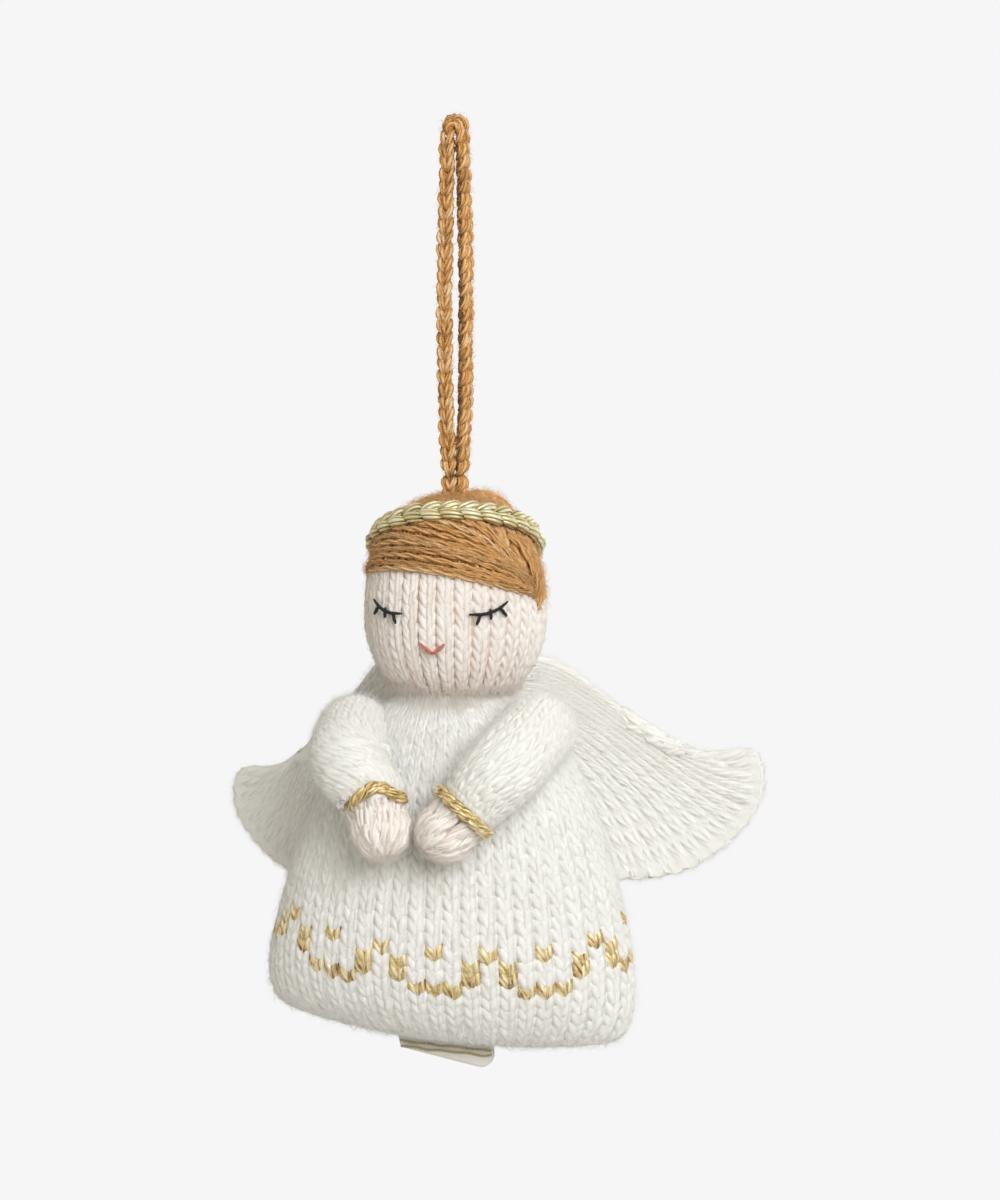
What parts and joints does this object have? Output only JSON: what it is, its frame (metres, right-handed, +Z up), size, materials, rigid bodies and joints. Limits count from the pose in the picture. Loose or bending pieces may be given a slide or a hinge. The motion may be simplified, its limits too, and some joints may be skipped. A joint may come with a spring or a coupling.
{
  "type": "knitted angel ornament",
  "caption": "Stuffed knitted angel with ribbed wings, folded arms, side-swept hair and a ring halo, hung by a crocheted loop as a tree or window ornament.",
  "frame": {"origin": "inside top of the hanging loop, where a hook or twig carries it", "axes": "+Z up along the loop, -Y out of the face, +X to the angel's own left"},
  "size_m": [0.1134, 0.063, 0.1917],
  "materials": {
    "caramel_yarn": "fuzzy wool yarn, matte",
    "white_yarn": "knitted wool, matte",
    "skin_yarn": "knitted wool, matte",
    "gold_thread": "metallic thread, soft sheen",
    "pale_gold_yarn": "metallic crochet yarn, soft sheen",
    "black_thread": "embroidery thread, matte",
    "coral_thread": "embroidery thread, matte",
    "filling_fibre": "loose fibre",
    "cotton_tape": "woven tape, matte"
  },
  "bodies": {
    "loop": {"hanging_loop": "caramel_yarn"},
    "knot": {"loop_knot": "caramel_yarn"},
    "figure": {"dress": "white_yarn", "body_filling": "filling_fibre", "hem_seam": "white_yarn", "neck_thread": "white_yarn", "head_skin": "skin_yarn", "head_filling": "filling_fibre", "hair_cap": "caramel_yarn", "hair_fringe": "caramel_yarn", "hair_bun": "caramel_yarn", "halo": "pale_gold_yarn", "left_eye": "black_thread", "right_eye": "black_thread", "mouth": "coral_thread", "wing_binding": "white_yarn"},
    "left_arm": {"left_sleeve": "white_yarn", "left_arm_filling": "filling_fibre", "left_hand": "skin_yarn", "left_cuff": "gold_thread"},
    "right_arm": {"right_sleeve": "white_yarn", "right_arm_filling": "filling_fibre", "right_hand": "skin_yarn", "right_cuff": "gold_thread"},
    "left_wing": {"left_wing": "white_yarn"},
    "right_wing": {"right_wing": "white_yarn"},
    "label": {"label": "cotton_tape"}
  },
  "joints": [
    {"name": "figure_sway", "type": "hinge", "parent": "loop", "child": "knot", "pos_m": [0, 0, -0.07202], "axis": [0, 1, 0], "range_deg": [-40, 40]},
    {"name": "figure_swing", "type": "hinge", "parent": "knot", "child": "figure", "pos_m": [0, 0, -0.07202], "axis": [1, 0, 0], "range_deg": [-40, 40]},
    {"name": "left_arm_lift", "type": "hinge", "parent": "figure", "child": "left_arm", "pos_m": [0.01975, -0.00269, -0.11631], "axis": [-0.6738, -0.1525, 0.723], "range_deg": [0, 35], "stiffness_Nm_per_rad": 0.002},
    {"name": "right_arm_lift", "type": "hinge", "parent": "figure", "child": "right_arm", "pos_m": [-0.0202, -0.00241, -0.11614], "axis": [-0.7004, 0.2066, -0.6832], "range_deg": [0, 35], "stiffness_Nm_per_rad": 0.002},
    {"name": "left_wing_flap", "type": "hinge", "parent": "figure", "child": "left_wing", "pos_m": [0.00337, 0.01887, -0.11579], "axis": [0, 0, 1], "range_deg": [-10, 40], "stiffness_Nm_per_rad": 0.004},
    {"name": "right_wing_flap", "type": "hinge", "parent": "figure", "child": "right_wing", "pos_m": [-0.00337, 0.01887, -0.11579], "axis": [0, 0, -1], "range_deg": [-10, 40], "stiffness_Nm_per_rad": 0.004},
    {"name": "label_flip", "type": "hinge", "parent": "figure", "child": "label", "pos_m": [-0.00216, 0, -0.18332], "axis": [0.9968, 0, -0.0799], "range_deg": [-45, 45], "stiffness_Nm_per_rad": 0.0005}
  ]
}
